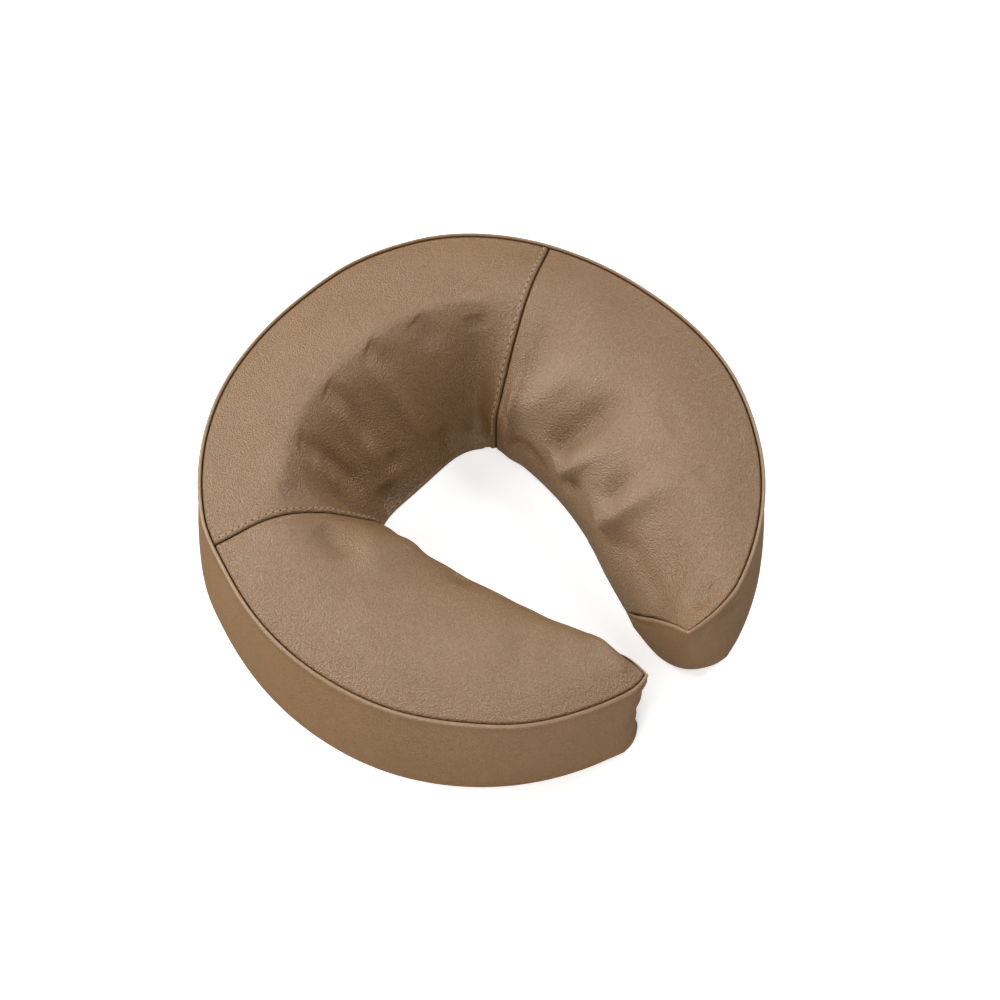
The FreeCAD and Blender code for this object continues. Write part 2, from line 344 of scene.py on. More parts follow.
def seam_distance(points, row):
    """Distance along the leather from one row of a grid of points, in millimetres."""
    run = lengths_along(points)
    return np.abs(run - run[row])


def edge_dip(distance, depth, reach):
    """Leather turning down into a seam."""
    near = np.clip(1 - distance / reach, 0, 1)
    return -depth * near**2.2


# Folds: (rim angle, share down the section) from one end to the other, height in
# millimetres (a valley is negative), widths of its two sides, and how it fades at its ends
FOLDS = (
    # creases that start at the ridge of the forehead and run down its slope, and the swells between
    (((6.5, .36), (10.2, .43), (13, .53)), -2.4, (5, 7), (.1, .6)),
    (((4.5, .40), (6.5, .54), (11, .72), (18.8, .9)), 2.6, (5, 6), (.25, .35)),
    (((-13, .36), (-11.2, .44), (-10.2, .52), (-12.2, .62), (-19, .72)), -2.5, (6, 5), (.08, .4)),
    (((-14.2, .42), (-15.6, .54), (-16.2, .68), (-16, .85)), 2.4, (5, 6), (.25, .4)),
    (((-35, .46), (-38, .56), (-40.5, .7)), 2.0, (5, 6), (.25, .4)),
    (((-33.5, .37), (-32.5, .45), (-31.8, .54), (-31, .64), (-31, .74), (-34.2, .83)), -2.5, (6, 5),
     (.08, .3)),
    (((24.5, .37), (27.5, .43), (28.5, .52)), -2.0, (6, 6), (.1, .6)),
    (((30, .44), (34, .6), (36, .8)), 1.6, (7, 8), (.3, .4)),
    (((45.2, .40), (46.5, .47)), -1.6, (6, 6), (.2, .5)),
    (((-54, .31), (-52, .38), (-50, .46)), -1.4, (5, 6), (.2, .5)),
    (((25.8, .83), (29, .9), (31.2, .97)), -2.0, (5, 5), (.4, .1)),
    (((50.8, .80), (49.8, .94)), -2.6, (8, 8), (.5, .1)),
    (((-20, .86), (-22.8, .91), (-25.8, .98)), -3.0, (7, 7), (.5, .1)),
    (((-4.8, .78), (-10.8, .87)), -1.8, (6, 6), (.4, .4)),
    # the right arm: three folds drawn up from its inner edge, with valleys between them
    (((64.5, .74), (70.5, .68), (78, .59), (82.5, .48), (84.5, .37)), 3.4, (9, 9), (.12, .5)),
    (((97, .76), (98.4, .71), (101, .6), (104, .48), (108.2, .36)), -4.9, (8.5, 9.5), (.15, .5)),
    (((66.5, .86), (79, .83), (90, .85), (100.5, .84)), -2.2, (5, 5), (.25, .3)),
    (((108.5, .80), (111, .74), (115, .67), (117.8, .55)), 4.2, (4.5, 8), (.08, .7)),
    (((110, .85), (114, .815), (119, .78), (124, .72)), -3.4, (6, 5), (.3, .6)),
    (((139.5, .69), (135.5, .60), (131, .48)), -3.6, (6, 7), (.25, .6)),
    (((142, .80), (142.5, .66), (140.5, .48), (136.5, .3)), 5.2, (6.5, 10), (.12, .6)),
    (((146, .86), (152.2, .77), (156, .62), (156.5, .46)), -1.6, (6, 8), (.3, .6)),
    (((118.5, .24), (120.5, .33)), -1.4, (9, 9), (.4, .4)),
    (((133, .19), (139, .25)), -1.3, (8, 8), (.4, .4)),
    (((161.5, .06), (166, .09), (170.5, .15)), -2.8, (6, 6), (.4, .3)),
    (((157, .67), (166.5, .56), (171, .38)), -1.2, (6, 7), (.3, .4)),
    (((173, .2), (168.5, .22), (162.2, .24)), 1.0, (6, 7), (.2, .6)),
    # the left arm: a hollow and a swell behind its radial seam, and a dent on its inner edge
    (((-66, .38), (-70, .39), (-77, .38), (-84, .36)), -2.6, (8, 8), (.2, .4)),
    (((-66, .6), (-76, .52), (-87.5, .43), (-92, .36)), 2.0, (8, 8), (.25, .4)),
    (((-123.5, .63), (-122.2, .52)), -1.7, (6, 6), (.2, .6)),
    (((-140, .3), (-150, .28)), -.9, (9, 9), (.5, .5)),
    (((-167.4, .06), (-167.2, .22), (-167.2, .38)), 1.5, (4, 4.5), (.2, .4)),
)


def on_surface(angle, share):
    """A point of the undisturbed surface at a rim angle and a share of the section's length."""
    line = top_surface(np.array([angle]), np.linspace(0, 1, 300))
    run, total = row_lengths(line)
    return point_at(share * total[0, 0], run[0], line[0])


def fold_shift(points, normals, fold):
    """How far one fold lifts each point along its normal."""
    places, height, widths, (start_fade, end_fade) = fold
    knots = curve_through([on_surface(*place) for place in places], 8)
    lengths = np.linalg.norm(np.diff(knots, axis=0), axis=-1)
    total = lengths.sum()
    best = np.full(points.shape[:2], 1e9)
    side = np.zeros(points.shape[:2])
    along = np.zeros(points.shape[:2])
    done = 0.0
    for start, end, length in zip(knots[:-1], knots[1:], lengths):
        run = (end - start) / length
        offset = points - start
        t = np.clip(offset @ run, 0, length)
        gap = offset - t[..., None] * run
        distance = np.linalg.norm(gap, axis=-1)
        closer = distance < best
        best = np.where(closer, distance, best)
        across = np.cross(run, normals)
        side = np.where(closer, np.sum(gap * across, -1), side)
        along = np.where(closer, (done + t) / total, along)
        done += length
    # a little strength is left at the very ends
    strength = smooth(0, start_fade, along + 0.02) * smooth(0, end_fade, 1.02 - along)
    return height * strength * bell(best, np.where(side > 0, *widths))


def lumps(points, size, height, seed):
    """Gentle uneven swelling of the padding."""
    flat = points.reshape(-1, 3)
    values = [noise.noise(Vector((x / size + seed, y / size, z / size))) for x, y, z in flat]
    return height * np.array(values).reshape(points.shape[:2])


def set_painted_shading(piece, values):
    """Per-point painted light and shade: below zero darker, painted shade as in a seam or crease, above zero
    paler, painted light.
    """
    layer = piece.data.attributes.new("painted_shading", "FLOAT", "POINT")
    layer.data.foreach_set("value", np.asarray(values, np.float32).ravel())


PHASES = even_phases(132)
FOLD_REACH = 25  # degrees past a fold's ends within which it still lifts the leather
STITCH_ROW = 3.5  # distance of the topstitching from the radial seam
ARM_SWELL = 1.3  # an arm swells beside its radial seam
INNER_SWELL = 2.6  # and the right one swells more where the seam goes down into the face opening
PAINTED_LIGHT_RIGHT_ARM = 0.15  # how much painted light brightens the arms' inner sides
PAINTED_LIGHT_LEFT_ARM = 0.02
SCOOP_PAINTED_SHADE = 0.09  # painted shade over the forehead's scoop
SEAM_PAINTED_SHADE = 0.9  # how much painted shade darkens the leather down in a seam


def panel(angles, seam_rows, topstitched):
    """One top panel's leather, with its folds and seams, and the painted light and shade at each point of it.
    """
    points = top_surface(angles, PHASES)
    normals = grid_normals(points)
    down, total = row_lengths(points)
    share = down / total
    on_right = angles[0] > 0
    shift = lumps(points, 34, 0.9, 3.1) + lumps(points, 13, 0.25, 8.4)
    for fold in FOLDS:
        fold_angles = [place[0] for place in fold[0]]
        rows = (angles > min(fold_angles) - FOLD_REACH) & (angles < max(fold_angles) + FOLD_REACH)
        if rows.any():
            shift[rows] += fold_shift(points[rows], normals[rows], fold)
    shift = shift * smooth(0, 14, down) * smooth(0, 10, total - down)
    # painted shade where the leather dips into a fold's valley, and a little painted highlight where it rises
    painted_shading = np.clip(0.06 * shift, -0.3, 0.05)
    if topstitched:
        # painted shade over the scoop, below the forehead's crease
        painted_shading = painted_shading - SCOOP_PAINTED_SHADE * smooth(0.4, 0.48, share)
    else:
        # painted light on the arms' inner sides, far more on the right arm
        painted_light = PAINTED_LIGHT_RIGHT_ARM if on_right else PAINTED_LIGHT_LEFT_ARM
        painted_shading = painted_shading + painted_light * smooth(0.3, 0.6, share) * smooth(62, 76, np.abs(angles))[:, None]
    swell = ARM_SWELL
    if on_right:
        swell = swell + INNER_SWELL * smooth(0.5, 0.66, share) * smooth(1.02, 0.86, share)
    for row in seam_rows:
        distance = seam_distance(points, row)
        shift = shift * smooth(0, 9, distance)
        if topstitched:
            # a low ridge beside the seam, and the stitches pulled down into the leather
            shift = shift + 0.45 * bell(distance - 2.4, 1.5) - 0.4 * bell(distance - STITCH_ROW, 0.9)
        else:
            shift = shift + swell * bell(distance - 9, 6.5) * smooth(10, 60, down)
        shift = shift + edge_dip(distance, 1.5, 1.5)
        # painted shade down in the radial seam
        painted_shading = painted_shading - SEAM_PAINTED_SHADE * bell(distance, 0.6)
    # painted shade down in the perimeter seam
    painted_shading = painted_shading - SEAM_PAINTED_SHADE * bell(down, 0.45)
    points = points + normals * shift[..., None]
    points[..., 2] += edge_dip(down, 1.6, 1.4)
    points[..., 2] = np.maximum(points[..., 2], BASE_TOP)
    return points, painted_shading


# The foot of the leather at each tip, from the facet's inner end round the corner
FOOT_RIGHT = ((21.3, -87.2), (18.2, -100.5), (16, -111), (15.2, -120), (16.6, -128), (20, -134),
              (25, -138.6), (31.5, -142), (38.5, -143.4))
FOOT_LEFT = ((-21.3, -87.2), (-20.5, -103), (-21.5, -118), (-24, -131), (-28, -138.8), (-34, -143.2),
             (-41, -143.8))
FOOT_CORNER_RIGHT = 5  # the point of the list that lies under the seam's corner
FOOT_CORNER_LEFT = 4
FOOT_STEPS = 12  # points on each span of those lists
FOOT_R = 148.2  # the foot of the band on the round wall
FACET_ROWS = 60
RIM_ANGLES = np.linspace(TIP_RIGHT, -TIP_LEFT, 640)

# Cross-section of the band: first the raised lip beside the seam, as (out, depth), then
# the wall, as (out, share of the height left), then the turned-under hem
LIP = ((0.1, 2.4), (0.12, 1.0), (0.32, 0.1), (0.8, -0.36), (1.35, -0.4), (1.9, 0.1), (2.2, 0.9),
       (2.2, 1.9), (2.0, 3.2), (1.8, 5.0))
# painted shade in the seam's groove, a painted highlight on the lip's crest and faint painted shade below it,
# one value to each lip point
LIP_PAINTED_SHADING = (-0.9, -0.8, -0.35, 0.05, 0.2, 0.22, 0.08, -0.04, -0.1, -0.1)
WALL = ((1.75, 0.05), (1.75, 0.1), (1.85, 0.17), (2.0, 0.25), (2.15, 0.33), (2.3, 0.41), (2.4, 0.49),
        (2.45, 0.57), (2.45, 0.65), (2.4, 0.73), (2.3, 0.8), (2.15, 0.87), (2.0, 0.93), (1.8, 0.97),
        (1.2, 0.993), (0.2, 1.0), (-2.0, 1.0), (-4.5, 1.0))
INSIDE = ((-4.5, 0.975), (-1.5, 0.96), (-1.2, 0.8), (-1.2, 0.5), (-1.2, 0.2), (-1.2, 0.03))

# Slack folds of the band below the seam's corner at the right tip, as (angle at the seam,
# how far the fold leans by the foot, height, width)
CORNER_FOLDS = ((174.5, 30, 2.2, 1.4), (170.5, 27, -2.8, 1.7), (167.0, 24, 2.4, 1.8),
                (163.5, 20, -1.8, 2.0), (159.5, 16, 1.0, 2.2))


def tip_edge(angle):
    """The facet's top edge, from the seam's corner to the base line."""
    return resample(top_surface(np.array([angle]), np.linspace(0, 1, 200))[0], FACET_ROWS)


def foot_rim_angles(rim_angles, start, end):
    """Angle of the foot under each rim angle: straight below, but drawn in at the corners."""
    right = smooth(158, TIP_RIGHT, rim_angles) ** 0.8
    left = smooth(157, TIP_LEFT, -rim_angles) ** 0.8
    return rim_angles + right * (start - TIP_RIGHT) + left * (end + TIP_LEFT)


def band_lines():
    """Top edge, foot and outward direction of the band, from the right facet to the left."""
    rim = at_height(rim_point(RIM_ANGLES), SEAM_Z)
    top = np.concatenate([tip_edge(TIP_RIGHT)[::-1][:-1], rim, tip_edge(-TIP_LEFT)[1:]])
    right = curve_through(FOOT_RIGHT, FOOT_STEPS)
    left = curve_through(FOOT_LEFT, FOOT_STEPS)
    right_corner = FOOT_CORNER_RIGHT * FOOT_STEPS
    left_corner = FOOT_CORNER_LEFT * FOOT_STEPS
    wall_angles = np.linspace(161, -160, 400)
    wall = polar(wall_angles, FOOT_R + drift(wall_angles, FOOT_DRIFT))
    round_foot = np.concatenate([right[right_corner:], wall, left[left_corner:][::-1]])
    round_foot = resample(round_foot, 4000)
    foot_turn = angle_of(round_foot)
    aimed = foot_rim_angles(RIM_ANGLES, foot_turn[0], foot_turn[-1])
    order = np.argsort(foot_turn)
    foot = np.concatenate([
        resample(right[:right_corner + 1], FACET_ROWS)[:-1],
        point_at(aimed, foot_turn[order], round_foot[order]),
        resample(left[:left_corner + 1], FACET_ROWS)[::-1][1:],
    ])
    tangent = np.gradient((top[:, :2] + foot) / 2, axis=0)
    kernel = np.hanning(25) / np.hanning(25).sum()
    for k in range(2):
        tangent[:, k] = np.convolve(np.pad(tangent[:, k], len(kernel) // 2, "edge"), kernel, "valid")
    return top, foot, unit(np.stack([tangent[:, 1], -tangent[:, 0]], -1))


def crumple(end, down):
    """Three soft sideways bulges where the leather slackens at the left tip."""
    near = bell(np.clip(np.abs(end) - 2, 0, None), 10.0)
    waist = -3.6 * bell(down - 0.56, 0.26)
    bulges = 1.0 * np.cos(2 * math.pi * (down - 0.1) / 0.27) * smooth(0.04, 0.16, down)
    return near * (waist + bulges * smooth(1.0, 0.86, down))


def corner_folds(top, down):
    """Slack folds that run down and away from the seam's corner at the right tip."""
    turn = angle_of(top)
    shift = 0.0
    for start, lean, height, width in CORNER_FOLDS:
        across = turn - (start - lean * down)
        shift = shift + height * bell(across, width + 3 * down) * (1 - down) ** 0.8
    return shift * smooth(8, 40, top[:, 2]) * smooth(0.05, 0.2, down)


def band_points():
    """Closed cross-sections of the outer band along its path."""
    top, foot, out = band_lines()
    height = top[:, 2]
    # the lip shrinks where a facet's edge runs down, and is flat along the left one
    small = np.clip(height / 14, 0.04, 1)
    flatter = np.full(FACET_ROWS, 0.3)
    flatter[:12] = np.linspace(1, 0.3, 12)
    small[-FACET_ROWS:] *= flatter
    lip_depth = LIP[-1][1] * small
    sections = [(offset, depth * small) for offset, depth in LIP]
    sections += [(offset, lip_depth + (height - lip_depth - 0.25) * share) for offset, share in WALL + INSIDE]
    run = lengths_along(top)
    from_corner = run - run[len(top) - FACET_ROWS]
    points = []
    for offset, depth in sections:
        down = np.clip(depth / np.maximum(height, 1e-6), 0, 1)
        sideways = offset * small + crumple(from_corner, down) + corner_folds(top, down)
        plan = top[:, :2] + (foot - top[:, :2]) * down[:, None] + out * sideways[:, None]
        points.append(at_height(plan, (height - depth)[:, None]))
    return np.stack(points, 1)


def base_points():
    """Loop-pile panel under the cushion, as closed cross-sections from rim to opening."""
    angles = np.linspace(TIP_RIGHT, -TIP_LEFT, 300)
    across = np.linspace(0, 1, 40)
    top, foot, out = band_lines()
    rim_rows = slice(FACET_ROWS - 1, len(top) - FACET_ROWS + 1)
    outer = point_at(-angles, -RIM_ANGLES, foot[rim_rows] - out[rim_rows] * 2.5)
    inner = top_surface(angles, np.array([1.0]))[:, 0, :2]
    share = 0.004 + 0.985 * across
    flat = outer[:, None] + (inner - outer)[:, None] * share[None, :, None]
    # the last rows at each tip turn to follow the facet's foot
    turned_rows = 30
    for row, facet in ((0, foot[:FACET_ROWS][::-1]), (-1, foot[-FACET_ROWS:])):
        pull = resample(facet, len(across)) - flat[row]
        for step in range(turned_rows):
            flat[step if row == 0 else -1 - step] += pull * (1 - step / turned_rows) ** 2 * 0.92
    low = 0.05 + 0.25 * np.abs(2 * across - 1) ** 8  # the edge turns up a little
    return np.concatenate([at_height(flat, low[:, None]), at_height(flat, BASE_TOP)[:, ::-1]], 1)


def stitch_line(points, row):
    """Polyline on a panel, one stitch row away from the radial seam at its first or last row."""
    distance = seam_distance(points, row)
    if row == -1:
        distance, points = distance[::-1], points[::-1]
    return np.array([point_at(STITCH_ROW, distance[:, k], points[:, k]) for k in range(points.shape[1])])


STITCH_PITCH = 4.0
STITCH_LENGTH = 2.7
STITCH_RINGS = 9  # cross-sections along one stitch
STITCH_SIDES = 8
FIRST_STITCH = 2.0  # from the perimeter seam
LAST_STITCH = 14  # from the base line
HOLE_LEAD = 0.65  # how far a needle hole lies before its stitch
HOLE_SIDES = 10


def stitches(name, line, normals):
    """A row of short sunken thread loops, with a dark disc of painted shade for the needle hole before each.
    """
    run = lengths_along(line)
    co, faces, marks = [], [], []

    def ahead_at(distance):
        return unit(point_at(distance + 0.3, run, line) - point_at(distance - 0.3, run, line))

    for number in range(int((run[-1] - LAST_STITCH) / STITCH_PITCH)):
        start = FIRST_STITCH + number * STITCH_PITCH
        first = len(co)
        for t in np.linspace(0, 1, STITCH_RINGS).tolist():
            distance = start + t * STITCH_LENGTH
            centre = point_at(distance, run, line)
            normal = unit(point_at(distance, run, normals))
            across = np.cross(ahead_at(distance), normal)
            rise = max(math.sin(math.pi * t), 0)
            lift = -0.4 + 0.6 * rise ** 0.6
            radius = 0.2 + 0.14 * rise ** 0.5
            for k in range(STITCH_SIDES):
                turn = 2 * math.pi * k / STITCH_SIDES
                co.append(centre + normal * (lift + radius * math.sin(turn))
                          + across * radius * 1.15 * math.cos(turn))
        for ring in range(first, len(co) - STITCH_SIDES, STITCH_SIDES):
            for k in range(STITCH_SIDES):
                a, b = ring + k, ring + (k + 1) % STITCH_SIDES
                faces.append((a, b, b + STITCH_SIDES, a + STITCH_SIDES))
        faces.append(tuple(reversed(range(first, first + STITCH_SIDES))))
        faces.append(tuple(range(len(co) - STITCH_SIDES, len(co))))
        marks += [0] * (len(faces) - len(marks))

        first = len(co)
        hole = point_at(start - HOLE_LEAD, run, line)
        normal = unit(point_at(start - HOLE_LEAD, run, normals))
        ahead = ahead_at(start)
        across = np.cross(ahead, normal)
        co.append(hole + normal * 0.12)
        for k in range(HOLE_SIDES):
            turn = 2 * math.pi * k / HOLE_SIDES
            co.append(hole + normal * 0.05 + ahead * 0.55 * math.cos(turn) + across * 0.5 * math.sin(turn))
        co.append(hole - normal * 0.4)
        for k in range(HOLE_SIDES):
            a, b = first + 1 + k, first + 1 + (k + 1) % HOLE_SIDES
            faces += [(first, a, b), (first + 1 + HOLE_SIDES, b, a)]
        marks += [1] * (len(faces) - len(marks))
    piece = mesh_object(name, np.array(co), faces)
    piece.data.polygons.foreach_set("material_index", marks)
    piece.data.update()
    return piece


THREAD_R = 0.3
RIM_THREAD_DOWN = 1.9  # below the top of the perimeter seam, in its groove
FOOT_THREAD_IN = 3.0  # from the band's foot, under the cushion
FOOT_THREAD_Z = 1.2


def tube(name, line, ring=8):
    """Round seam thread along a line of points."""
    tangent = unit(np.gradient(line, axis=0))
    side = unit(np.cross(tangent, np.array([0, 0, 1.0])))
    up = np.cross(side, tangent)
    turns = np.linspace(0, 2 * math.pi, ring, endpoint=False)
    twist = 1 + 0.18 * np.sin(np.arange(len(line)) * 2.1)
    rows = [line + (side * math.cos(t) + up * math.sin(t)) * (THREAD_R * twist)[:, None] for t in turns]
    return make_mesh(name, np.stack(rows, 1), wrap=True, caps=True)


FOAM_INSET = 6.0  # from the undisturbed surface in to the foam
FOAM_FOOT = 2.2
LAYER_Z = 38.0  # the level split between the two layers


def foam_points(upper):
    """One foam layer under the leather, as closed cross-sections."""
    full = top_surface(np.linspace(-160, 160, 170), np.linspace(0, 1, 240))
    full = full - grid_normals(full) * FOAM_INSET
    rows = []
    for row in full:
        peak = int(np.argmax(row[:, 2]))
        inner = peak + int(np.argmax(row[peak:, 2] < LAYER_Z))
        part = resample(row[:inner + 1] if upper else row[inner:], 46)
        edge = row[0, :2] - unit(row[0, :2]) * 0.6
        if upper:
            wall = [(*edge, LAYER_Z), (*edge, row[0, 2] - 2.5)]
        else:
            part[:, 2] = np.maximum(part[:, 2], FOAM_FOOT)
            wall = [(*edge, FOAM_FOOT), (*edge, LAYER_Z - 0.3)]
        rows.append(np.concatenate([part, wall]))
    return np.stack(rows)


def new_material(name):
    """A node material, its node tree and its shader."""
    material = bpy.data.materials.new(name)
    material.use_nodes = True
    return material, material.node_tree, material.node_tree.nodes["Principled BSDF"]


def math_node(tree, operation, first, second):
    """A Math node; each input is a socket or a number."""
    node = tree.nodes.new("ShaderNodeMath")
    node.operation = operation
    for socket, value in zip(node.inputs, (first, second)):
        if isinstance(value, (int, float)):
            socket.default_value = value
        else:
            tree.links.new(value, socket)
    return node.outputs[0]


def weighed(tree, first, first_share, second, second_share):
    """Sum of two sockets, each times a number."""
    return math_node(tree, "ADD", math_node(tree, "MULTIPLY", first, first_share),
                     math_node(tree, "MULTIPLY", second, second_share))


def map_range(tree, value, from_min=0.0, from_max=1.0, to_min=0.0, to_max=1.0):
    node = tree.nodes.new("ShaderNodeMapRange")
    node.inputs["From Min"].default_value = from_min
    node.inputs["From Max"].default_value = from_max
    node.inputs["To Min"].default_value = to_min
    node.inputs["To Max"].default_value = to_max
    tree.links.new(value, node.inputs["Value"])
    return node.outputs["Result"]


def mapped(tree, coords, rotation, scale):
    """Texture coordinates turned and drawn out."""
    node = tree.nodes.new("ShaderNodeMapping")
    node.inputs["Rotation"].default_value = rotation
    node.inputs["Scale"].default_value = scale
    tree.links.new(coords, node.inputs["Vector"])
    return node.outputs["Vector"]


def noise_node(tree, coords, scale, detail=2, roughness=0.5):
    node = tree.nodes.new("ShaderNodeTexNoise")
    node.inputs["Scale"].default_value = scale
    node.inputs["Detail"].default_value = detail
    node.inputs["Roughness"].default_value = roughness
    tree.links.new(coords, node.inputs["Vector"])
    return node


def grain_texture(tree, coords, scale, detail, roughness=0.6):
    return noise_node(tree, coords, scale, detail, roughness).outputs["Fac"]


def cells_texture(tree, coords, scale):
    node = tree.nodes.new("ShaderNodeTexVoronoi")
    node.inputs["Scale"].default_value = scale
    tree.links.new(coords, node.inputs["Vector"])
    return node.outputs["Distance"]


def blend_colors(tree, factor, first, second):
    """A colour mix; each colour is a socket or a tuple."""
    node = tree.nodes.new("ShaderNodeMix")
    node.data_type = "RGBA"
    tree.links.new(factor, node.inputs["Factor"])
    for socket, value in ((node.inputs["A"], first), (node.inputs["B"], second)):
        if isinstance(value, tuple):
            socket.default_value = (*value, 1)
        else:
            tree.links.new(value, socket)
    return node.outputs["Result"]


def set_bump(tree, shader, height, strength, depth):
    """Relief of the shader's surface, in metres deep."""
    bump = tree.nodes.new("ShaderNodeBump")
    bump.inputs["Strength"].default_value = strength
    bump.inputs["Distance"].default_value = depth
    tree.links.new(height, bump.inputs["Height"])
    tree.links.new(bump.outputs["Normal"], shader.inputs["Normal"])


def scaled(color, amount):
    return tuple(channel * amount for channel in color)


def wobbled(tree, coords):
    """Coordinates shaken a little, so that the pebbles aren't regular."""
    wobble = noise_node(tree, coords, 240)
    shrink = tree.nodes.new("ShaderNodeVectorMath")
    shrink.operation = "SCALE"
    shrink.inputs["Scale"].default_value = 0.0009
    tree.links.new(wobble.outputs["Color"], shrink.inputs[0])
    warped = tree.nodes.new("ShaderNodeVectorMath")
    warped.operation = "ADD"
    tree.links.new(coords, warped.inputs[0])
    tree.links.new(shrink.outputs[0], warped.inputs[1])
    return warped.outputs[0]


# Leather: sizes as repeats to the metre
PEBBLES = 1250
RIPPLES = 1150
PATCHES = 22
GRAIN_DEPTH = 0.0009
PAINTED_LIGHT_COLOR = (0.42, 0.31, 0.21)  # colour under full painted light
PAINTED_SHADE_SHARE = (0.34, 0.25, 0.14)  # share of each colour channel left under full painted shade


def leather(name, color, turn, grain=1.0):
    """Soft pebbled faux leather: cells about a millimetre wide, drawn out one way."""
    material, tree, shader = new_material(name)
    shader.inputs["Specular IOR Level"].default_value = 0.9
    shader.inputs["Specular Tint"].default_value = (1, 0.97, 0.92, 1)
    place = tree.nodes.new("ShaderNodeTexCoord").outputs["Object"]
    coords = mapped(tree, place, (0, 0, math.radians(turn)), (1, 0.72, 0.85))
    cells = tree.nodes.new("ShaderNodeTexVoronoi")
    cells.feature = "SMOOTH_F1"
    cells.inputs["Scale"].default_value = PEBBLES
    cells.inputs["Smoothness"].default_value = 0.5
    cells.inputs["Randomness"].default_value = 1
    tree.links.new(wobbled(tree, coords), cells.inputs["Vector"])
    pebble = math_node(tree, "SUBTRACT", 1.0, cells.outputs["Distance"])
    ripple = grain_texture(tree, coords, RIPPLES, 3)
    height = weighed(tree, pebble, 0.9, ripple, 0.7)
    set_bump(tree, shader, height, 0.75, GRAIN_DEPTH * grain)

    # colour: darker between the pebbles, in faint patches, painted shade in seams and creases and painted
    # light on ridges, the lip and the arms' inner sides
    speckle = map_range(tree, height, 0.7, 1.3)
    mottled = blend_colors(tree, speckle, scaled(color, 0.7), scaled(color, 1.24))
    patches = map_range(tree, grain_texture(tree, place, PATCHES, 3), 0.35, 0.65, 0, 0.15)
    varied = blend_colors(tree, patches, mottled, scaled(color, 1.1))
    # painted shade below zero and painted light above zero
    painted_shading = tree.nodes.new("ShaderNodeAttribute")
    painted_shading.attribute_name = "painted_shading"
    painted_shade = math_node(tree, "MAXIMUM", math_node(tree, "MULTIPLY", painted_shading.outputs["Fac"], -1.0), 0.0)
    painted_light = math_node(tree, "MAXIMUM", painted_shading.outputs["Fac"], 0.0)
    painted_shade_color = tuple(channel * left for channel, left in zip(color, PAINTED_SHADE_SHARE))
    final = blend_colors(tree, painted_light, blend_colors(tree, painted_shade, varied, painted_shade_color), PAINTED_LIGHT_COLOR)
    tree.links.new(final, shader.inputs["Base Color"])
    tree.links.new(map_range(tree, ripple, to_min=0.38, to_max=0.54), shader.inputs["Roughness"])
    return material


def bumped(name, color, roughness, height_of, depth, contrast):
    """A rough material whose relief and shade come from noise; height_of builds the relief."""
    material, tree, shader = new_material(name)
    coords = tree.nodes.new("ShaderNodeTexCoord").outputs["Object"]
    height = height_of(tree, coords)
    set_bump(tree, shader, height, 0.9, depth)
    shade = grain_texture(tree, coords, 60, 3)
    mixed = math_node(tree, "MULTIPLY", math_node(tree, "ADD", shade, height), 0.5)
    tinted = blend_colors(tree, mixed, scaled(color, 1 - contrast), scaled(color, 1 + contrast))
    tree.links.new(tinted, shader.inputs["Base Color"])
    shader.inputs["Roughness"].default_value = roughness
    return material


def loop_relief(tree, coords):
    """Brushed loops about a millimetre across, with fine fibres over them."""
    loops = math_node(tree, "SUBTRACT", 1.0, cells_texture(tree, coords, 800))
    return weighed(tree, loops, 0.7, grain_texture(tree, coords, 2600, 3), 0.3)


def foam_relief(tree, coords):
    """Open cells of cut foam, of two sizes."""
    return weighed(tree, cells_texture(tree, coords, 700), 0.6, cells_texture(tree, coords, 1900), 0.4)


def thread_relief(tree, coords):
    """Twisted fibres of a sewing thread."""
    return grain_texture(tree, mapped(tree, coords, (0.5, 0.4, 0.8), (1, 0.3, 1)), 4200, 3, 0.7)


def pit_relief(tree, coords):
    """Torn edge of a needle hole."""
    return grain_texture(tree, coords, 3000, 4)


def add(piece, material, node):
    """Give a piece its material and its place in the part."""
    piece.data.materials.append(material)
    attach(piece, "root")
    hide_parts(node)


COVER = leather("cover_leather", (0.206, 0.106, 0.0355), 62)
BAND = leather("band_leather", (0.228, 0.122, 0.046), 20, 0.35)
LOOP = bumped("loop_pile", (0.12, 0.085, 0.06), 0.95, loop_relief, 0.0008, 0.45)
THREAD = bumped("topstitch_thread", (0.33, 0.23, 0.14), 0.6, thread_relief, 0.0002, 0.3)
# the seam threads are near-black, painted shade down in the perimeter seam's groove
SEAM_THREAD_SHADE = bumped("seam_thread", (0.06, 0.035, 0.02), 0.8, thread_relief, 0.0002, 0.4)
# near-black discs of painted shade standing for the needle holes
NEEDLE_HOLE_SHADE = bumped("needle_hole_painted_shade", (0.05, 0.03, 0.018), 0.95, pit_relief, 0.0002, 0.4)
FOAM_SOFT = bumped("memory_foam", (0.8, 0.76, 0.66), 0.95, foam_relief, 0.0006, 0.1)
FOAM_FIRM = bumped("firm_foam", (0.7, 0.68, 0.6), 0.95, foam_relief, 0.0008, 0.14)

# Each panel with the rows of its grid that lie on a radial seam
centre, centre_painted_shading = panel(row_angles(-RADIAL_SEAM, RADIAL_SEAM, fine_end=True), (0, -1), topstitched=True)
right, right_painted_shading = panel(row_angles(RADIAL_SEAM, TIP_RIGHT, fine_end=False), (0,), topstitched=False)
left, left_painted_shading = panel(row_angles(-TIP_LEFT, -RADIAL_SEAM, fine_end=True), (-1,), topstitched=False)
for name, node, points, painted_shading in (
    ("cover_top_centre", "top_panel_centre", centre, centre_painted_shading),
    ("cover_top_right", "top_panel_right", right, right_painted_shading),
    ("cover_top_left", "top_panel_left", left, left_painted_shading),
):
    piece = make_mesh(name, points)
    set_painted_shading(piece, painted_shading)
    thicken(piece, LEATHER)
    add(piece, COVER, node)

band = band_points()
piece = make_mesh("cover_band", band, wrap=True, caps=True)
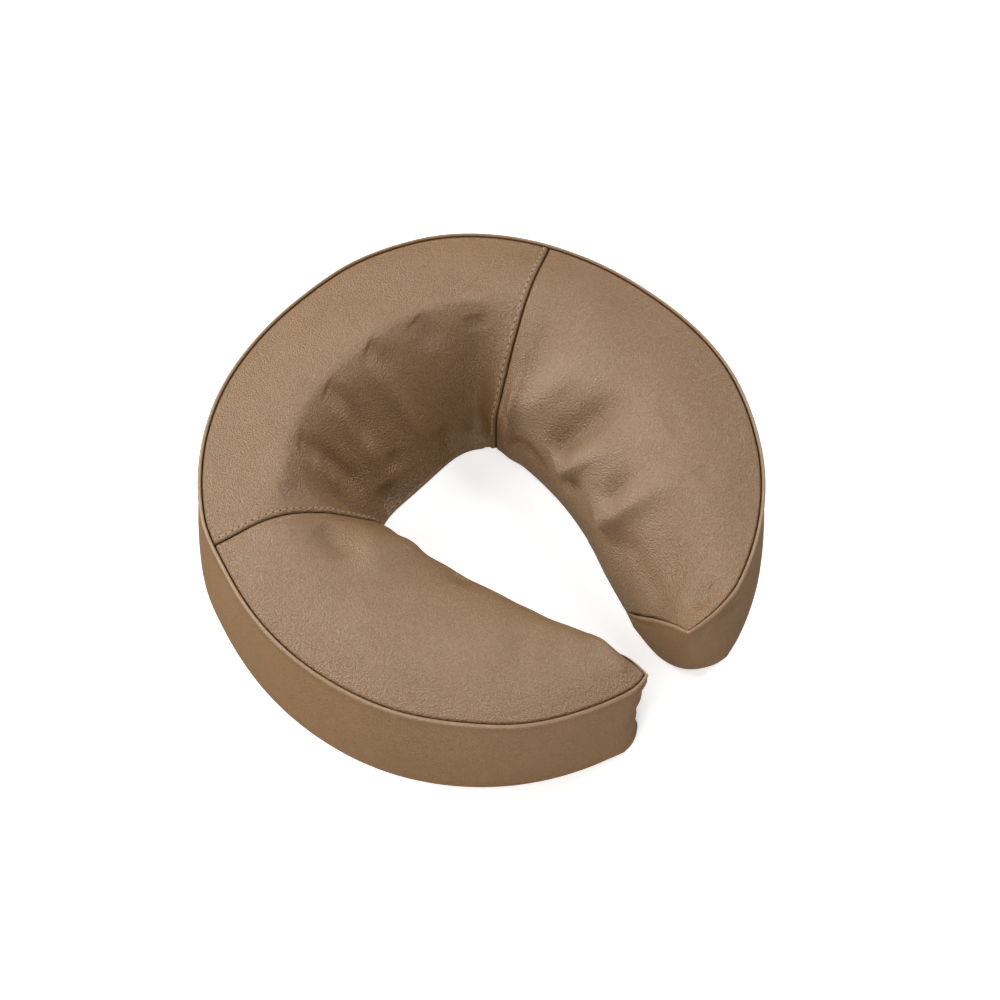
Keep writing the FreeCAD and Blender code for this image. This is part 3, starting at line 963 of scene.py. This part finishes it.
# the lip's painted shade and painted highlight, the same all along the band
band_painted_shading = np.zeros(band.shape[1])
band_painted_shading[:len(LIP_PAINTED_SHADING)] = LIP_PAINTED_SHADING
set_painted_shading(piece, np.broadcast_to(band_painted_shading, band.shape[:2]))
add(piece, BAND, "outer_band")

add(make_mesh("loop_base", base_points(), wrap=True, caps=True), LOOP, "base_panel")

# Topstitching of the centre panel; each stitch stands as the leather does twelve rows in from the seam
centre_normals = grid_normals(centre)
for name, node, seam_row, normal_row in (
    ("stitches_left", "topstitch_left", 0, 12),
    ("stitches_right", "topstitch_right", -1, -13),
):
    piece = stitches(name, stitch_line(centre, seam_row), centre_normals[normal_row])
    piece.data.materials.append(THREAD)
    add(piece, NEEDLE_HOLE_SHADE, node)

rim_angles = np.linspace(TIP_RIGHT - 0.5, -TIP_LEFT + 0.5, 700)
rim_line = at_height(rim_point(rim_angles), SEAM_Z - RIM_THREAD_DOWN)
add(tube("seam_thread_perimeter", rim_line), SEAM_THREAD_SHADE, "perimeter_seam_thread")
foot_angles = np.linspace(158, -158, 500)
foot_radii = FOOT_R - FOOT_THREAD_IN + drift(foot_angles, FOOT_DRIFT)
foot_line = at_height(polar(foot_angles, foot_radii), FOOT_THREAD_Z)
add(tube("seam_thread_base", foot_line), SEAM_THREAD_SHADE, "base_seam_thread")

for name, upper, foam, node, slot, fill in (
    ("foam_soft", True, FOAM_SOFT, "comfort_foam", "soft_foam", 0.8),
    ("foam_firm", False, FOAM_FIRM, "support_foam", "firm_foam", 0.9),
):
    add(make_mesh(name, foam_points(upper), wrap=True, caps=True), foam, node)


def direction(turn, height):
    """Unit vector at a turn and a height angle, in degrees; a turn of 0 is the forehead's side."""
    turn, height = math.radians(turn), math.radians(height)
    return Vector((math.sin(turn) * math.cos(height), math.cos(turn) * math.cos(height), math.sin(height)))


def aim(thing, back):
    """Turn a camera or lamp to look against a direction."""
    thing.rotation_euler = back.to_track_quat("Z", "Y").to_euler()


# Long lens from the chin side, about 61 degrees above the floor; lengths in metres
CAMERA_TURN = 180 + 45.82
CAMERA_HEIGHT = 60.82
CAMERA_DISTANCE = 4.043
CAMERA_TARGET = Vector((0.02355, 0.00925 + CENTRE_Y * MM, 0))
SENSOR_WIDTH = 36
LENS_PER_SENSOR = 7.48
LIGHT_DISTANCE = 2.4

camera_data = bpy.data.cameras.new("camera")
camera = add_object("camera", camera_data)
back = direction(CAMERA_TURN, CAMERA_HEIGHT)
camera.location = CAMERA_TARGET + back * CAMERA_DISTANCE
aim(camera, back)
camera_data.sensor_width = SENSOR_WIDTH
camera_data.lens = SENSOR_WIDTH * LENS_PER_SENSOR
camera_data.clip_end = 50
bpy.context.scene.camera = camera

world = bpy.data.worlds.new("studio")
world.use_nodes = True
world.node_tree.nodes["Background"].inputs["Color"].default_value = (1, 1, 1, 1)
world.node_tree.nodes["Background"].inputs["Strength"].default_value = 0.08
bpy.context.scene.world = world
# Softboxes round the table, as (name, turn, height angle, watts, side)
for name, turn, height, watts, size in (
    ("softbox_behind_low", 0, 18, 8.7, 1.3),
    ("softbox_top", 0, 90, 1.2, 1.3),
    ("softbox_top_behind", 20, 66, 4.0, 1.3),
    ("softbox_right", 90, 42, 49.1, 1.3),
    ("softbox_right_low", 135, 18, 6.0, 1.3),
    ("softbox_front_floor", 195, 8, 3.4, 0.6),
    ("softbox_front_left_floor", 225, 8, 12.3, 0.6),
    ("softbox_left", 250, 45, 29.9, 1.3),
    ("softbox_left_back_low", 315, 18, 21.9, 1.3),
    ("softbox_behind_left", 340, 30, 43.0, 1.3),
):
    lamp_data = bpy.data.lights.new(name, "AREA")
    lamp_data.energy = watts
    lamp_data.size = size
    lamp = add_object(name, lamp_data)
    lamp.location = direction(turn, height) * LIGHT_DISTANCE
    aim(lamp, lamp.location)
bpy.context.scene.view_settings.view_transform = "Standard"

# White paper with a faint glow, so that it reads as the photo's white background
FLOOR_HALF = 4
floor_mesh = bpy.data.meshes.new("floor")
corners = [(x * FLOOR_HALF, y * FLOOR_HALF, 0) for x, y in ((-1, -1), (1, -1), (1, 1), (-1, 1))]
floor_mesh.from_pydata(corners, [], [(0, 1, 2, 3)])
floor = add_object("floor", floor_mesh)
paper, _, paper_shader = new_material("floor_paper")
paper_shader.inputs["Base Color"].default_value = (0.9, 0.9, 0.9, 1)
paper_shader.inputs["Roughness"].default_value = 0.9
paper_shader.inputs["Emission Color"].default_value = (1, 1, 1, 1)
paper_shader.inputs["Emission Strength"].default_value = 0.42
floor_mesh.materials.append(paper)
floor.location.z = -0.0002
floor.visible_glossy = False  # the leather mirrors the softboxes, not the paper
